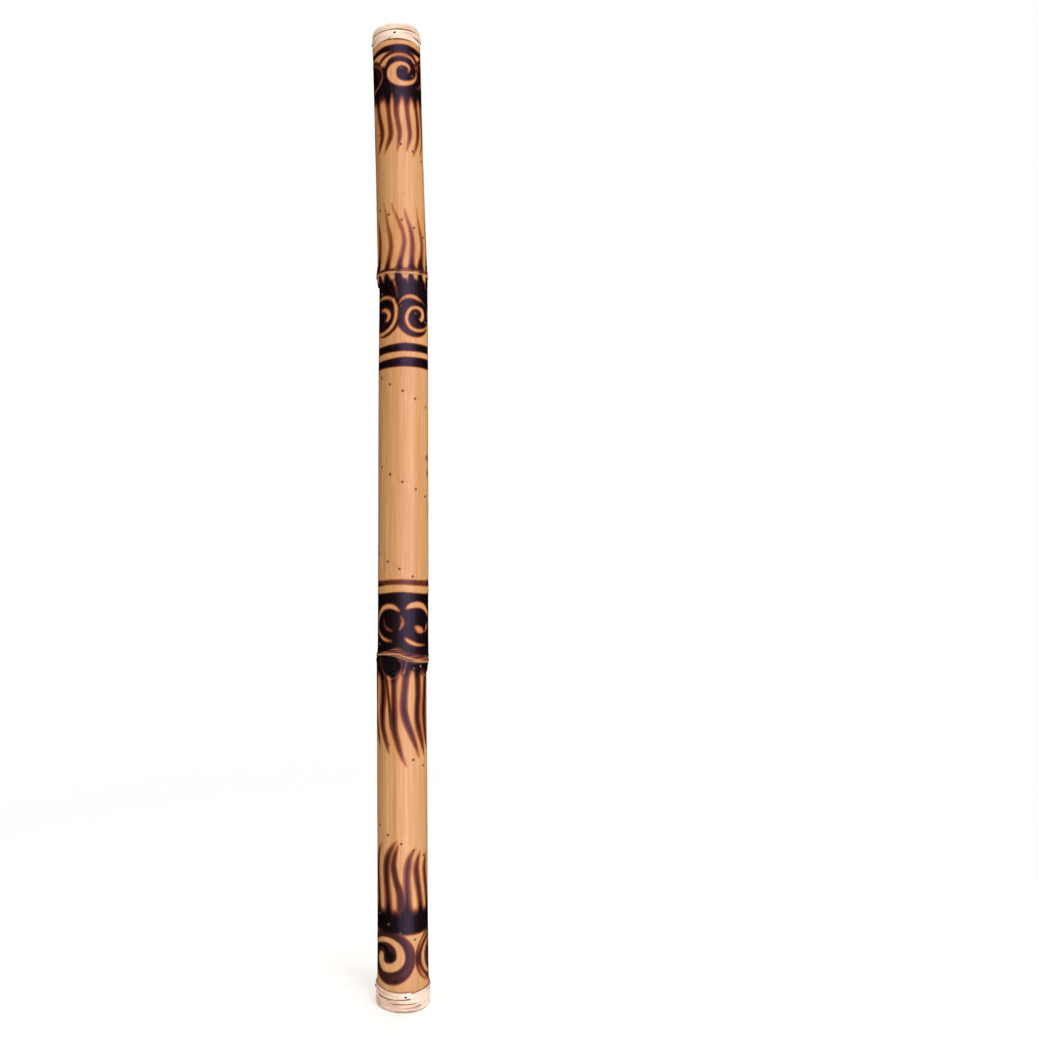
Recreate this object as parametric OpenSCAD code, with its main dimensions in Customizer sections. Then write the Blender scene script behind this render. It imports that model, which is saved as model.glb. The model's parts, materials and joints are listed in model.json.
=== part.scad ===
// Bamboo rainstick: a bored culm with two nodes, a spiral of pins across the bore, a filling of
// pebbles and grit that falls past the pins, and split-cane hoops nailed round both ends.
// +Z runs up the stick from the middle of its bottom face, and the bud scar faces -Y.

/* [Culm] */
// Length of the whole stick
stick_length = 1000; // [990:1:1010]
// Height of the lower node
lower_node_z = 353; // [345:1:360]
// Height of the upper node
upper_node_z = 751; // [745:1:757]
// Radius of the culm just above the bottom binding
base_radius = 26.9; // [26.2:0.1:27.2]
// Radius of the middle internode where it leaves the lower node
middle_radius = 26.6; // [26:0.1:27]
// Radius of the middle internode where it meets the upper node
waist_radius = 25.1; // [24.8:0.1:25.4]
// Radius of the upper internode where it leaves the upper node
shoulder_radius = 25.8; // [25.5:0.1:26]
// Radius of the culm just below the top binding
tip_radius = 24.7; // [24.5:0.1:25]
// Radius of the straight bore, with both nodes knocked through
bore_radius = 17.5; // [17:0.1:17.8]
// Radius of the opening left in each node's diaphragm
diaphragm_radius = 16; // [15.9:0.1:16.5]

/* [Bow] */
// Sideways offset of the middle internode where it leaves the lower node
bow_low = 1.6; // [0:0.1:2]
// Sideways offset of the middle internode where it meets the upper node
bow_high = 3.9; // [2:0.1:4]
// Sideways offset of the upper internode where it leaves the upper node
bow_shoulder = 2.9; // [1:0.1:3]
// Sideways offset of the tip, to the other side
bow_tip = -2.7; // [-3:0.1:0]

/* [Pins] */
// Number of pins
pin_count = 122; // [108:1:122]
// Radius of a pin
pin_radius = 1.1; // [0.9:0.05:1.2]
// Clearance round a pin in its drilled hole
pin_clearance = 0.05; // [0.02:0.01:0.08]
// Distance from the stick's axis to the pins' points
pin_reach = 9; // [8.5:0.1:11]
// Length of a pin's point
pin_point = 2; // [1:0.5:3]
// Turn between the pin rows of the upper half and those of the lower half, in degrees
half_shift = 8; // [0:0.5:8]
// Largest wander of a pin to either side of its row, in degrees
pin_wander = 1; // [0:0.1:1]

/* [Filling] */
// Radius of a pebble
pebble_radius = 2.6; // [2:0.05:2.6]
// Layers of pebbles
pebble_layers = 9; // [3:1:10]
// Radius of the ring of grit that falls between the pin rows
grit_ring = 14.3; // [14:0.1:14.4]
// Layers of grit
grit_layers = 17; // [5:1:20]

/* [Ends] */
// Thickness of each end plug
plug_thickness = 9; // [6:0.5:12]
// Height of one hoop of the bottom binding
bottom_hoop_height = 6.6; // [6:0.1:7]
// Height of one hoop of the top binding
top_hoop_height = 5.2; // [4.8:0.1:5.6]
// Outer radii of the bottom hoops, from the lowest up
bottom_hoop_radii = [27.7, 28, 28.4];
// Outer radius of the top hoops
top_hoop_radius = 24.8; // [24.7:0.1:25.1]
// Radius of a brad's head
brad_head_radius = 1.15; // [0.9:0.05:1.4]
// Radius of a brad's shank
brad_radius = 0.6; // [0.5:0.05:0.8]
// Length of a brad's shank
brad_length = 3.8; // [3:0.1:3.9]

/* [Hidden] */
$fn = 96;

tan_bamboo = [0.84, 0.66, 0.44];
cream_cane = [0.95, 0.87, 0.76];
dull_pin = [0.36, 0.28, 0.22];
nail_grey = [0.30, 0.30, 0.30];
plug_wood = [0.72, 0.56, 0.38];
stone_grey = [0.58, 0.55, 0.50];

eps = 0.02;                  // gap between faces that lie against each other
far = 40;                    // past the outside of the culm
lap = 3;                     // how far each internode runs on inside its node's swelling
diaphragm_thickness = 3;
flare = 110;                 // height of the widening at the bottom
bud_angle = -21;             // turn from the front to the bud scar
bud_curve = 10.8;            // radius of the scar's swelling
bud_top_radius = 27.3;         // distance from the axis to the top of the swelling
groove_curve = 18;           // radius of the groove's section
groove_floor_radius = 26.2;  // distance from the axis to the groove's floor
groove_foot_z = 60.2;        // height of the groove's lower end
neck = 130;                  // height over which the upper internode narrows
thinning = 96;               // height over which the middle internode narrows
pins_per_turn = 12;
pin_step = 360 / pins_per_turn;
// Heights at which the spiral of pins crosses the front, as marked out by hand from the top
front_heights = [955, 878, 801, 714, 628, 536, 448, 355, 262, 170, 80, -10];
bottom_seat_radius = 26.3;    // culm under the bottom binding
top_seat_radius = 23.6;      // culm under the top binding
top_bevel = 0.7;             // inward bevel of the culm's top edge
hoop_gap = 0.1;
hoop_chamfer = 0.5;
brad_head_height = 0.6;
bottom_brad_z = 16.4;
bottom_brad_angle = 5.6;
top_brad_drop = 9.5;         // from the top face down to the top brads
top_brad_angle = -2.7;
bottom_seat_height = 3 * bottom_hoop_height + 4 * hoop_gap;
top_seat_height = 3 * top_hoop_height + 4 * hoop_gap;
upper_length = norm([bow_tip - bow_shoulder, stick_length - upper_node_z]);
middle_length = norm([bow_high - bow_low, upper_node_z - lower_node_z]);
column_shift = 0.5;          // mean turn of the pin rows, in degrees
channel_half = pin_step / 2 - half_shift / 2 - pin_wander;
grit_radius = grit_ring * sin(channel_half) - pin_radius - 0.13;

// Frame of the middle internode: its own axis is +Z, from the lower node up
module in_middle() {
    translate([bow_low, 0, lower_node_z])
        rotate([0, atan2(bow_high - bow_low, upper_node_z - lower_node_z), 0]) children();
}

// Frame of the upper internode: its own axis is +Z, from the upper node up
module in_upper() {
    translate([bow_shoulder, 0, upper_node_z])
        rotate([0, atan2(bow_tip - bow_shoulder, stick_length - upper_node_z), 0]) children();
}

// Turns +Z outwards to the side of the stick that is angle degrees to the right of the front
module facing(angle) {
    rotate([0, 0, angle]) rotate([90, 0, 0]) children();
}

// Swelling of a node, with its widest ring at height 0
module node_ridge(radius) {
    rotate_extrude() polygon([[20, -12], [radius - 1.5, -12], [radius - 0.9, -7],
        [radius - 0.25, -2.5], [radius, 0], [radius - 0.3, 2.5], [radius - 1, 7],
        [radius - 1.5, 11], [20, 11]]);
}

// Outside of the culm, as one solid without its bore
module culm_outside() {
    cylinder(h = bottom_seat_height + eps, r = bottom_seat_radius);
    translate([0, 0, bottom_seat_height])
        cylinder(h = flare - bottom_seat_height, r1 = base_radius, r2 = base_radius - 0.6);
    translate([0, 0, flare])
        cylinder(h = lower_node_z - flare, r1 = base_radius - 0.6, r2 = base_radius - 1);
    translate([1, 0, lower_node_z]) node_ridge(27.4);
    in_middle() {
        translate([0, 0, -lap]) cylinder(h = middle_length - thinning + lap,
            r1 = middle_radius, r2 = middle_radius - 0.8);
        translate([0, 0, middle_length - thinning])
            cylinder(h = thinning, r1 = middle_radius - 0.8, r2 = waist_radius);
    }
    translate([2.4, 0, upper_node_z]) node_ridge(26.8);
    in_upper() {
        translate([0, 0, -lap]) cylinder(h = neck + lap, r1 = shoulder_radius, r2 = tip_radius);
        translate([0, 0, neck])
            cylinder(h = upper_length - neck - top_seat_height, r = tip_radius);
        translate([0, 0, upper_length - top_seat_height - eps])
            cylinder(h = top_seat_height - top_hoop_height + eps, r = top_seat_radius);
        translate([0, 0, upper_length - top_hoop_height])
            cylinder(h = top_hoop_height, r1 = top_seat_radius, r2 = top_seat_radius - top_bevel);
    }
    bud_scar();
}

// Low rounded scar of the bud under the lower node, on the front
module bud_scar() {
    facing(bud_angle) translate([0, lower_node_z - 10, bud_top_radius - bud_curve])
        sphere(r = bud_curve);
}

// Shallow groove that runs down from the bud scar
module bud_groove() {
    facing(bud_angle) translate([0, groove_foot_z, groove_floor_radius + groove_curve])
        rotate([-90, 0, 0]) cylinder(h = lower_node_z - 22 - groove_foot_z, r = groove_curve);
}

// The bore: wide in the internodes, narrower through what is left of the two diaphragms
module bore() {
    half = diaphragm_thickness / 2;
    translate([0, 0, -1]) cylinder(h = stick_length + 2, r = diaphragm_radius);
    translate([0, 0, -1]) cylinder(h = lower_node_z - half + 1, r = bore_radius);
    translate([0, 0, lower_node_z + half])
        cylinder(h = upper_node_z - lower_node_z - 2 * half, r = bore_radius);
    translate([0, 0, upper_node_z + half])
        cylinder(h = stick_length - upper_node_z - half + 2, r = bore_radius);
}

// Direction and height of pin i, counted down the spiral from the top
function pin_turn(i) = i / pins_per_turn;
function pin_height(i) = lookup(pin_turn(i),
    [for (k = [0:len(front_heights) - 1]) [k, front_heights[k]]]);
function pin_shift(i) = column_shift
    + half_shift / 2 * max(-1, min(1, (pin_height(i) - stick_length / 2) / 40));
function pin_angle(i) = i * pin_step + pin_shift(i) + pin_wander * sin(137.5 * i);

// Places children at pin i, with +Z outwards along the pin and its foot on the stick's axis
module at_pin(i) {
    translate([0, 0, pin_height(i)]) facing(pin_angle(i)) children();
}

module pin_holes() {
    for (i = [0:pin_count - 1])
        at_pin(i) translate([0, 0, diaphragm_radius - 2])
            cylinder(h = far, r = pin_radius + pin_clearance, $fn = 24);
}

// One spiral turn of pins, cut off flush with the culm's outside
module rain_pins(turn) {
    last = turn == 9 ? pin_count - 1 : pins_per_turn * (turn + 1) - 1;
    color(dull_pin) intersection() {
        for (i = [pins_per_turn * turn:last]) at_pin(i) {
            translate([0, 0, pin_reach])
                cylinder(h = pin_point, r1 = 0.3, r2 = pin_radius, $fn = 24);
            translate([0, 0, pin_reach + pin_point])
                cylinder(h = far, r = pin_radius, $fn = 24);
        }
        culm_outside();
    }
}

// A brad along +Z, its head's underside at height 0
module brad() {
    translate([0, 0, -brad_length]) cylinder(h = brad_length, r = brad_radius, $fn = 24);
    cylinder(h = brad_head_height, r1 = brad_head_radius, r2 = brad_head_radius * 0.6, $fn = 32);
}

module brad_hole() {
    translate([0, 0, -brad_length - 0.3])
        cylinder(h = brad_length + 4, r = brad_radius + pin_clearance, $fn = 24);
}

// Four places round the upper hoop of the bottom binding
module at_bottom_brads() {
    for (k = [0:3]) translate([0, 0, bottom_brad_z])
        facing(bottom_brad_angle + 90 * k)
            translate([0, 0, bottom_hoop_radii[2] + eps]) children();
}

// Four places round the middle hoop of the top binding
module at_top_brads() {
    in_upper() for (k = [0:3]) translate([0, 0, upper_length - top_brad_drop])
        facing(top_brad_angle + 90 * k) translate([0, 0, top_hoop_radius + eps]) children();
}

module bamboo_culm() {
    color(tan_bamboo) difference() {
        culm_outside();
        bore();
        bud_groove();
        pin_holes();
        at_bottom_brads() brad_hole();
        at_top_brads() brad_hole();
    }
}

module bottom_end_plug() {
    color(plug_wood) cylinder(h = plug_thickness, r = bore_radius - eps);
}

module top_end_plug() {
    color(plug_wood) intersection() {
        translate([0, 0, stick_length - plug_thickness])
            cylinder(h = plug_thickness + 5, r = bore_radius - eps);
        in_upper() translate([0, 0, upper_length - 2 * plug_thickness])
            cylinder(h = 2 * plug_thickness, r = far);
    }
}

// A flat cane strip bent into a hoop, with its bottom edge at height 0
module cane_hoop(seat, outer, height, top_slope = 0) {
    rotate_extrude() polygon([[seat + eps, 0], [outer - hoop_chamfer, 0],
        [outer, hoop_chamfer], [outer - 0.6 * top_slope, height - hoop_chamfer],
        [outer - hoop_chamfer - top_slope, height], [seat + eps - top_slope, height]]);
}

// Hoop k of the bottom binding, from the lowest up
module bottom_hoop(k) {
    color(cream_cane) difference() {
        translate([0, 0, k * (bottom_hoop_height + hoop_gap)])
            cane_hoop(bottom_seat_radius, bottom_hoop_radii[k], bottom_hoop_height);
        at_bottom_brads() brad_hole();
    }
}

// Hoop k of the top binding, from the lowest up
module top_hoop(k) {
    color(cream_cane) difference() {
        in_upper() translate([0, 0, upper_length - (3 - k) * top_hoop_height - (2 - k) * hoop_gap])
            cane_hoop(top_seat_radius, top_hoop_radius, top_hoop_height, k == 2 ? top_bevel : 0);
        at_top_brads() brad_hole();
    }
}

module bottom_brads() {
    color(nail_grey) at_bottom_brads() brad();
}

module top_brads() {
    color(nail_grey) at_top_brads() brad();
}

// Pebbles in the open core between the pins' points
module pebbles() {
    pitch = 2 * pebble_radius + 0.05;
    ring = 2 * pebble_radius + 0.1;
    color(stone_grey) for (layer = [0:pebble_layers - 1])
        translate([0, 0, plug_thickness + pebble_radius + 0.05 + layer * pitch]) {
            sphere(r = pebble_radius, $fn = 24);
            for (k = [0:5]) rotate([0, 0, 60 * k + 30 * layer])
                translate([ring, 0, 0]) sphere(r = pebble_radius, $fn = 24);
        }
}

// Grit in the open channels between the pin rows
module grit() {
    pitch = 2 * grit_radius + 0.1;
    color(stone_grey) for (layer = [0:grit_layers - 1], k = [0:pins_per_turn - 1])
        translate([0, 0, plug_thickness + grit_radius + 0.05 + layer * pitch])
            facing(column_shift + pin_step * (k + 0.5))
                translate([0, 0, grit_ring]) sphere(r = grit_radius, $fn = 20);
}

bamboo_culm();
bottom_end_plug();
top_end_plug();
bottom_hoop(0);  // bottom_cane_hoop_lower
bottom_hoop(1);  // bottom_cane_hoop_middle
bottom_hoop(2);  // bottom_cane_hoop_upper
top_hoop(0);  // top_cane_hoop_lower
top_hoop(1);  // top_cane_hoop_middle
top_hoop(2);  // top_cane_hoop_upper
bottom_brads();
top_brads();
rain_pins(0);  // rain_pins_turn_01
rain_pins(1);  // rain_pins_turn_02
rain_pins(2);  // rain_pins_turn_03
rain_pins(3);  // rain_pins_turn_04
rain_pins(4);  // rain_pins_turn_05
rain_pins(5);  // rain_pins_turn_06
rain_pins(6);  // rain_pins_turn_07
rain_pins(7);  // rain_pins_turn_08
rain_pins(8);  // rain_pins_turn_09
rain_pins(9);  // rain_pins_turn_10
pebbles();
grit();
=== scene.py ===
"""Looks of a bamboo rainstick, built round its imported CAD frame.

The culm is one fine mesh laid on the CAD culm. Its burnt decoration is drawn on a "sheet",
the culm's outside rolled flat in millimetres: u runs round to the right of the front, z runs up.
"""
import json
import math
import random

import bpy
import numpy as np
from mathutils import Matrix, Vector
from mathutils.bvhtree import BVHTree


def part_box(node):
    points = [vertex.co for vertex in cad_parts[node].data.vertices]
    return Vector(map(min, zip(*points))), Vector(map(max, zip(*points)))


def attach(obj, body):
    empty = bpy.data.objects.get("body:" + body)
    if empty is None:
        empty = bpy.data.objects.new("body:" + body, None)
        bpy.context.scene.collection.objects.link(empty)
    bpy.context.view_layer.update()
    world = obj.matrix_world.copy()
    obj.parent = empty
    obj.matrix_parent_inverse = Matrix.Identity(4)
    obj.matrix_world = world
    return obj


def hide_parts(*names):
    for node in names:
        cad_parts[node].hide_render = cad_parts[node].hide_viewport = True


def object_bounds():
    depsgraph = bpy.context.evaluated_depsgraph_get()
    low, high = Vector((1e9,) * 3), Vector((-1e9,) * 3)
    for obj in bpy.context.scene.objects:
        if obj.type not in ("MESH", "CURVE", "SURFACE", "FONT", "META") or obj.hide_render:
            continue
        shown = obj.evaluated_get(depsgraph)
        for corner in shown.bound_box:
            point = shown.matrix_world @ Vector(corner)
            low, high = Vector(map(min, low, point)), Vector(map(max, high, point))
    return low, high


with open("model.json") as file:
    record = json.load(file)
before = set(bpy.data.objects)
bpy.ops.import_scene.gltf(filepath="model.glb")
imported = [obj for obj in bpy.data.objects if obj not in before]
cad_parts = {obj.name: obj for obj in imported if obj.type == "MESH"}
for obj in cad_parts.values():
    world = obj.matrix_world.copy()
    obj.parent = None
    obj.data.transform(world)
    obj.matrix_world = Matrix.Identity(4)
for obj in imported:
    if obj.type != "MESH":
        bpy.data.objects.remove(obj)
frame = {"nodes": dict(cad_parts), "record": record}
CAD_LOW, CAD_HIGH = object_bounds()

MM = 0.001
COLUMNS = 200                   # vertices round the culm
PROBES = 96                     # rays round the CAD culm at each height
SHEET_RADIUS = 25.6             # radius on which the sheet is rolled, in mm
ROUND = 2 * math.pi * SHEET_RADIUS
COLUMN_STEP = ROUND / COLUMNS
NODE_HEIGHTS = (0.751, 0.353)   # of the culm's two diaphragms, in m
VIEW_DISTANCE = 1.0             # from the camera to the stick's axis
EYE_HEIGHT = 0.4985
LENS = 33.44                    # focal length in mm, on a sensor 36 mm wide
SHIFT = 0.1138                  # the stick stands left of the picture's middle
ROLL = 0.273                    # how far the picture is turned, in degrees
SIDE_DROOP = 0.0103             # how much of its height over the eye a level line loses at the sides


# ---------------------------------------------------------------- reading the CAD frame

def vertices_of(node):
    """The vertices of a CAD node, as rows of x, y, z in metres."""
    mesh = frame["nodes"][node].data
    flat = np.zeros(len(mesh.vertices) * 3)
    mesh.vertices.foreach_get("co", flat)
    return flat.reshape(-1, 3)


def loose_parts(node):
    """The vertices of each separate solid in a CAD node."""
    points = vertices_of(node)
    keys = {}
    same = [keys.setdefault(tuple(p), len(keys)) for p in np.round(points * 1e6).astype(int)]
    parent = list(range(len(keys)))

    def root(i):
        while parent[i] != i:
            parent[i] = parent[parent[i]]
            i = parent[i]
        return i

    for face in frame["nodes"][node].data.polygons:
        ids = [root(same[v]) for v in face.vertices]
        for other in ids[1:]:
            parent[root(other)] = root(ids[0])
    groups = {}
    for index, key in enumerate(same):
        groups.setdefault(root(key), []).append(index)
    parts = [points[ids] for ids in groups.values()]
    return sorted(parts, key=lambda p: tuple(np.round(p.mean(0), 5)[::-1]))


def probe_culm(heights, centres):
    """Radius of the CAD culm round each centre, in metres, one row for each height."""
    tree = BVHTree.FromObject(frame["nodes"]["bamboo_culm"], bpy.context.evaluated_depsgraph_get())
    radii = np.zeros((len(heights), PROBES))
    reach = 0.04
    turns = [2 * math.pi * j / PROBES for j in range(PROBES)]
    outward = [Vector((math.sin(t), -math.cos(t), 0)) for t in turns]
    for k, (z, x) in enumerate(zip(heights, centres)):
        middle = Vector((x, 0, z))
        for j, out in enumerate(outward):
            hit = tree.ray_cast(middle + out * reach, -out)[0]
            radii[k, j] = (hit - middle).length if hit else 0
    return np.median([np.roll(radii, shift, axis=1) for shift in range(-2, 3)], axis=0)


def running_mean(values, half):
    """Mean over half samples to each side, along the first axis."""
    padded = np.concatenate([values[:1].repeat(half, 0), values, values[-1:].repeat(half, 0)])
    return sum(padded[i:i + len(values)] for i in range(2 * half + 1)) / (2 * half + 1)


class Shape:
    """The CAD culm as seen from outside: its bent axis, its radius all round, and its two ends."""

    def __init__(self):
        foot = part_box("bamboo_culm")[0].z
        plug_low, plug_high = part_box("bottom_end_plug")
        self.bore = (plug_high.x - plug_low.x) / 2 + 0.02 * MM
        face = next(m for m in frame["record"]["mounts"] if m["name"] == "top_face")
        self.top_point = Vector(face["pos_m"])
        axis = Vector(face["axis"])
        self.top_tilt = -axis.x / axis.z
        self.top = self.top_point.z
        self.heights = np.arange(foot + 0.3 * MM, self.top - 0.6 * MM, 1 * MM)
        turns = np.arange(PROBES) * 2 * math.pi / PROBES
        start = probe_culm(self.heights, np.zeros(len(self.heights)))
        self.centres = running_mean((start * np.sin(turns)).mean(1) * 2, 6)
        self.radii = probe_culm(self.heights, self.centres)

    def centre(self, z):
        return np.interp(z, self.heights, self.centres)

    def radius(self, z):
        """Radius at each of the columns, for every height in z."""
        fine = np.arange(COLUMNS) * PROBES / COLUMNS
        left = np.floor(fine).astype(int) % PROBES
        share = fine - np.floor(fine)
        columns = self.radii[:, left] * (1 - share) + self.radii[:, (left + 1) % PROBES] * share
        return np.stack([np.interp(z, self.heights, columns[:, j]) for j in range(COLUMNS)], axis=1)

    def sheet_point(self, point):
        """Where a point in metres lies on the sheet, as u and z in millimetres."""
        turn = math.atan2(point[0] - float(self.centre(point[2])), -point[1])
        return turn * SHEET_RADIUS, point[2] / MM


# ---------------------------------------------------------------- the sheet

def smoothstep(t):
    t = np.clip(t, 0, 1)
    return t * t * (3 - 2 * t)


def curve_through(points, spacing=1.4):
    """A smooth line through points of any number of columns, by Catmull-Rom."""
    p = np.array(points, float)
    if len(p) == 1:
        return np.concatenate([p, p + 0.01])
    p = np.concatenate([2 * p[:1] - p[1:2], p, 2 * p[-1:] - p[-2:-1]])
    out = []
    for a, b, c, d in zip(p[:-3], p[1:-2], p[2:-1], p[3:]):
        count = max(2, int(math.hypot(c[0] - b[0], c[1] - b[1]) / spacing))
        t = (np.arange(count) / count)[:, None]
        out.append(0.5 * (2 * b + (c - a) * t + (2 * a - 5 * b + 4 * c - d) * t ** 2
                          + (3 * b - a - 3 * c + d) * t ** 3))
    return np.concatenate(out + [p[-2:-1]])


class Sheet:
    """One number for each vertex of the culm's outside, on which soft strokes are drawn."""

    def __init__(self, heights):
        self.z = heights
        self.value = np.zeros((len(heights), COLUMNS))

    def lay(self, ink, erase=False):
        """Adds ink where it is darker than what is there, or takes it away."""
        self.value = self.value * (1 - ink) if erase else np.maximum(self.value, ink)

    def stroke(self, points, soft=1.6, amount=1.0, fade=0.55, erase=False):
        """Draws a line of (u, z, width) points with edges this soft. Thin ends are drawn weaker."""
        path = curve_through(points)
        drawn = np.zeros_like(self.value)
        for a, b in zip(path[:-1], path[1:]):
            reach = max(a[2], b[2]) / 2 + soft
            first = math.ceil((min(a[0], b[0]) - reach) / COLUMN_STEP)
            last = math.floor((max(a[0], b[0]) + reach) / COLUMN_STEP)
            low, high = np.searchsorted(self.z, [min(a[1], b[1]) - reach, max(a[1], b[1]) + reach])
            if last < first or high <= low:
                continue
            columns = np.arange(first, last + 1)
            du = columns[None, :] * COLUMN_STEP - a[0]
            dz = self.z[low:high, None] - a[1]
            eu, ez = b[0] - a[0], b[1] - a[1]
            t = np.clip((du * eu + dz * ez) / max(eu * eu + ez * ez, 1e-9), 0, 1)
            away = np.hypot(du - t * eu, dz - t * ez)
            width = a[2] + (b[2] - a[2]) * t
            ink = smoothstep((width / 2 + soft / 2 - away) / soft)
            ink = ink * amount * np.clip(1 - fade + fade * width / 4, 0, 1)
            spot = np.s_[low:high, columns % COLUMNS]
            drawn[spot] = np.maximum(drawn[spot], ink)
        self.lay(drawn, erase)

    def rub(self, points, soft=1.6, amount=1.0, fade=0.55):
        """Rubs out a line of (u, z, width) points."""
        self.stroke(points, soft, amount, fade, erase=True)

    def between(self, low, high, soft):
        """Ink between two lines that run all the way round."""
        z = self.z[:, None]
        return smoothstep((z - low) / soft + 0.5) * smoothstep((high - z) / soft + 0.5)

    def band(self, low, high, soft=1.6, amount=1.0, wander=0.5, seed=1, erase=False):
        """A ring all the way round, with edges that wander a little."""
        turns = np.arange(COLUMNS) * 2 * math.pi / COLUMNS
        rng = random.Random(seed)

        def edge(level):
            line = np.full(COLUMNS, float(level))
            for order in (1, 2, 3, 5):
                line += wander / order * rng.uniform(-1, 1) * np.sin(order * turns + rng.uniform(0, 6.3))
            return line

        self.lay(self.between(edge(low), edge(high), soft) * amount, erase)

    def ring(self, low, high, soft=1.6, amount=1.0):
        """A ring all the way round between two lines of (u, z) points."""
        u = np.arange(COLUMNS) * COLUMN_STEP
        lines = [np.interp(u, *zip(*sorted((x % ROUND, z) for x, z in line)), period=ROUND)
                 for line in (low, high)]
        self.lay(self.between(*lines, soft) * amount)

    def blurred(self, rounds):
        """The sheet softened by about a millimetre for each round."""
        v = self.value
        for _ in range(rounds):
            v = (np.roll(v, 1, 1) + 2 * v + np.roll(v, -1, 1)) / 4
            v = np.concatenate([v[:1], (v[:-2] + 2 * v[1:-1] + v[2:]) / 4, v[-1:]])
        return v


def from_front(points):
    """Points drawn as the camera sees them: level rings droop away from eye height at the sides."""
    eye = EYE_HEIGHT / MM
    return [(u, eye + (z - eye) * (1 + SIDE_DROOP * (1 - math.cos(u / SHEET_RADIUS))), w)
            for u, z, w in points]


def moved(points, du=0.0, dz=0.0, flip_at=None, wide=1.0):
    """The same line somewhere else on the sheet, mirrored in u about flip_at if that is given."""
    turned = points if flip_at is None else [(2 * flip_at - u, z, w) for u, z, w in points]
    return [(u + du, z + dz, w * wide) for u, z, w in turned]


def arc(u, z, radius, first, last, width):
    """Part of a circle about (u, z), from angle first to last, measured from its left side upwards."""
    turns = [math.radians(first + (last - first) * k / 6) for k in range(7)]
    return [(u - radius * math.cos(a), z + radius * math.sin(a),
             width * (0.5 + 0.5 * math.sin(math.pi * k / 6))) for k, a in enumerate(turns)]


def stretched(points, share):
    """The same line made longer or shorter from its first point."""
    z0 = points[0][1]
    return [(u, z0 + (z - z0) * share, w) for u, z, w in points]


def rooted(points, flare, reach):
    """The same line with a foot that widens into the band it grows from."""
    path = curve_through(points, 2.0)
    steps = np.hypot(np.diff(path[:, 0]), np.diff(path[:, 1]))
    along = np.concatenate([[0], np.cumsum(steps)])
    path[:, 2] += flare * np.clip(1 - along / reach, 0, 1) ** 2
    return [tuple(p) for p in path]


def draw_lick(sheet, lick, soft, amount, flare, reach):
    """One lick: brown, with a darker core, and a black wedge where it leaves its band."""
    path = rooted(lick, flare, reach)
    start = path[0][1]
    core = [(u, z, w * 0.5) for u, z, w in path]
    wedge = [(u, z, w * 0.9 * (1 - abs(z - start) / 34)) for u, z, w in path if abs(z - start) < 33]
    sheet.stroke(path, soft + 0.8, amount - 0.12, 0.7)
    sheet.stroke(core, soft * 0.9, min(0.96, amount + 0.2), 0.6)
    if len(wedge) > 1:
        sheet.stroke(wedge, soft * 1.2, min(1.0, amount + 0.3), 0.5)


def licks_round(sheet, front, seed, soft=3.8, amount=0.74, flare=7, reach=13):
    """Draws the licks of the front as given, and carries the row on round the back."""
    rng = random.Random(seed)
    front = [from_front(lick) for lick in front]
    for lick in front:
        draw_lick(sheet, lick, soft, amount * rng.uniform(0.95, 1.03), flare, reach)
    first, last = front[0][0][0], front[-1][0][0]
    pitch = (last - first) / (len(front) - 1)
    gap = ROUND - (last - first)
    count = round(gap / pitch) - 1
    for k in range(count):
        lick = rng.choice(front[1:-1])
        place = last + gap * (k + 1) / (count + 1) + rng.uniform(-0.8, 0.8)
        lick = stretched(lick, rng.uniform(0.9, 1.12))
        lick = moved(lick, du=place - lick[0][0], wide=rng.uniform(0.85, 1.15))
        draw_lick(sheet, lick, soft, amount * rng.uniform(0.9, 1.04), flare, reach)


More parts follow.
